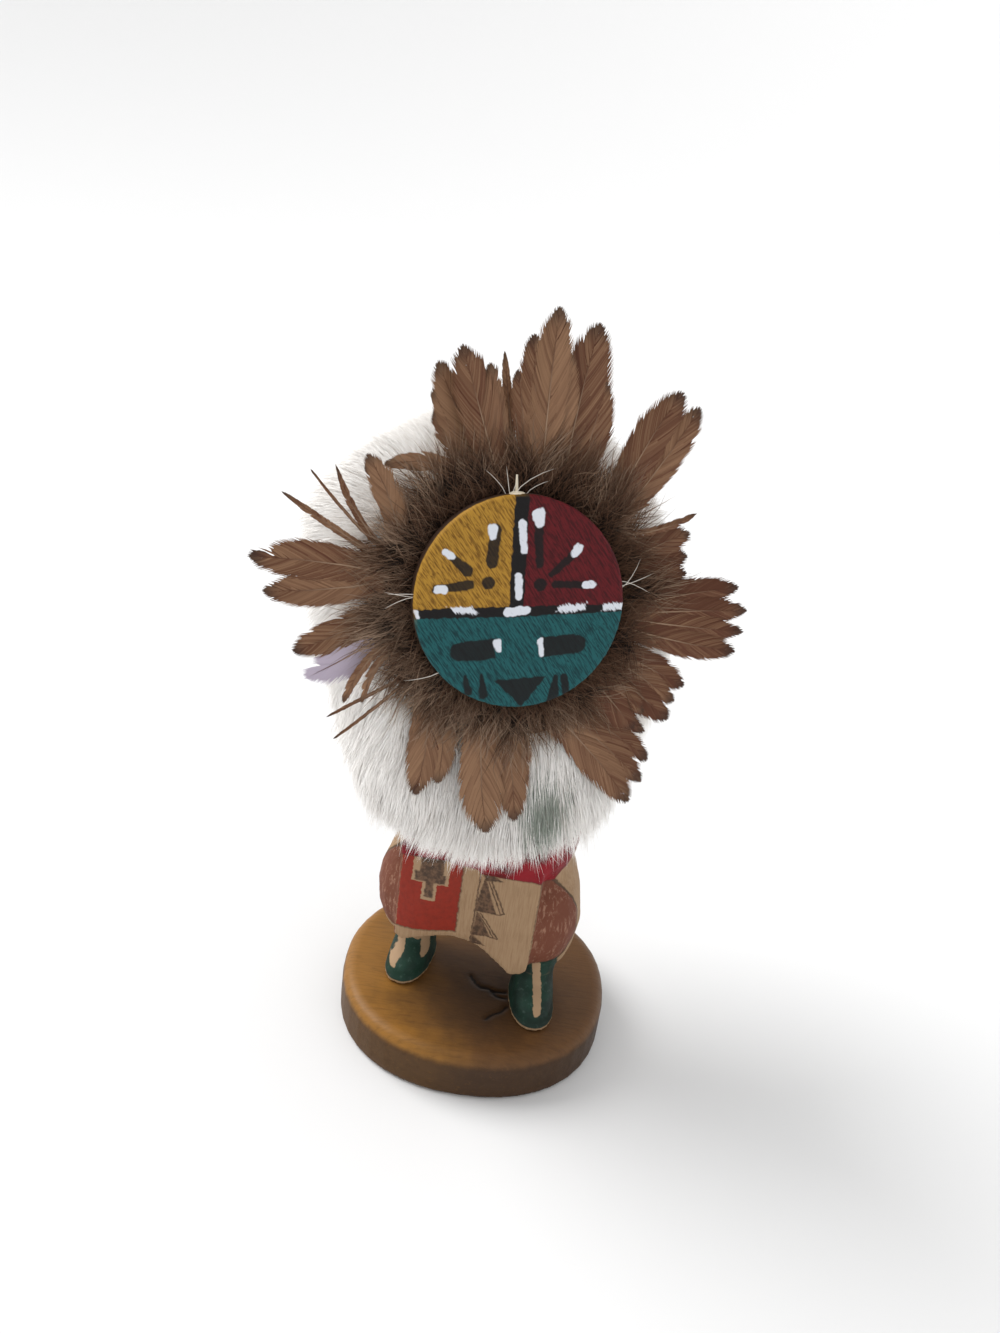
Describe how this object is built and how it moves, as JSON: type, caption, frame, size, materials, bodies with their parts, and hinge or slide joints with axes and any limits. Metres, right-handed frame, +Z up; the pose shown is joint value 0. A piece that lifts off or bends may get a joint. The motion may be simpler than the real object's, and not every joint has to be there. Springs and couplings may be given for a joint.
{
  "type": "kachina doll",
  "caption": "Carved and painted wooden sun-face dancer doll on a stained wooden slab, with a ring of brown feathers round its face and a white fur cape.",
  "frame": {"origin": "centre of the base's flat underside, on the surface that the doll stands on", "axes": "+Z up, -Y the way the figure and its face look, +X to the viewer's right"},
  "size_m": [0.1141, 0.0842, 0.2011],
  "materials": {
    "stained_wood": "brown stain, waxed, with grain, a knot and drying cracks",
    "painted_wood": "bare pale cottonwood with matt water paint and burnt outlines",
    "painted_face": "matt brushed paint in ochre, dark red and teal, with black and white strokes",
    "brown_down": "matted brown down",
    "brown_feather": "brown vanes with a light sheen and dark tips",
    "white_fur": "long soft white rabbit fur"
  },
  "bodies": {
    "root": {"base": "stained_wood", "figure": "painted_wood", "face_disc": "painted_face", "down_ring": "brown_down", "fur_pelt": "white_fur", "feather_01": "brown_feather", "feather_02": "brown_feather", "feather_03": "brown_feather", "feather_04": "brown_feather", "feather_05": "brown_feather", "feather_06": "brown_feather", "feather_07": "brown_feather", "feather_08": "brown_feather", "feather_09": "brown_feather", "feather_10": "brown_feather", "feather_11": "brown_feather", "feather_12": "brown_feather", "feather_13": "brown_feather", "feather_14": "brown_feather", "feather_15": "brown_feather", "feather_16": "brown_feather", "feather_17": "brown_feather", "feather_18": "brown_feather", "feather_19": "brown_feather", "feather_20": "brown_feather", "feather_21": "brown_feather", "feather_22": "brown_feather", "feather_23": "brown_feather", "feather_24": "brown_feather", "feather_25": "brown_feather"}
  },
  "joints": []
}
